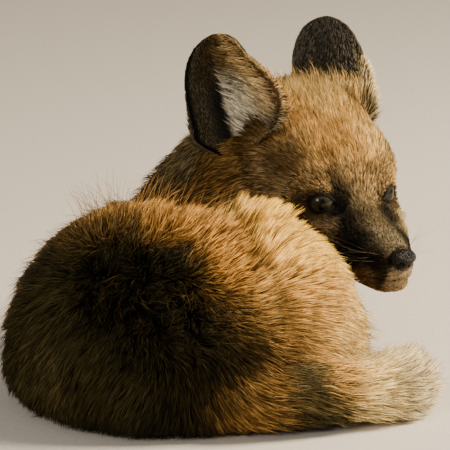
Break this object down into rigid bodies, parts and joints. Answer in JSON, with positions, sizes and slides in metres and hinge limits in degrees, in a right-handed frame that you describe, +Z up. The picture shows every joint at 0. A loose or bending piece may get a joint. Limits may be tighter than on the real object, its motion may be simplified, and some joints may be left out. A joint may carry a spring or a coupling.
{
  "type": "resting red fox cub",
  "caption": "Life-size still model of a young red fox lying curled on the floor, its head turned back over its right shoulder.",
  "frame": {"origin": "middle of the footprint on the floor", "axes": "+Z up, +X to the cub's open side where it looks, +Y from the rump towards the shoulders"},
  "size_m": [0.2164, 0.2259, 0.1711],
  "materials": {
    "tawny_coat": "soft dense cub fur, tawny with dark tips along the back",
    "dark_coat": "short brown-black fur of the legs, ear backs and tail",
    "cream_coat": "fluffy pale fur of the tail tip",
    "eye_glass": "wet glossy eye",
    "nose_skin": "moist black nose skin"
  },
  "bodies": {
    "root": {"trunk": "tawny_coat", "neck": "tawny_coat", "head": "tawny_coat", "thigh_right": "tawny_coat", "thigh_left": "tawny_coat", "tail_base": "dark_coat", "tail_tip": "cream_coat", "hind_foot_right": "dark_coat", "hind_foot_left": "dark_coat", "foreleg_right": "dark_coat", "foreleg_left": "dark_coat", "ear_right": "dark_coat", "ear_left": "dark_coat", "eye_right": "eye_glass", "eye_left": "eye_glass", "nose_pad": "nose_skin"}
  },
  "joints": []
}
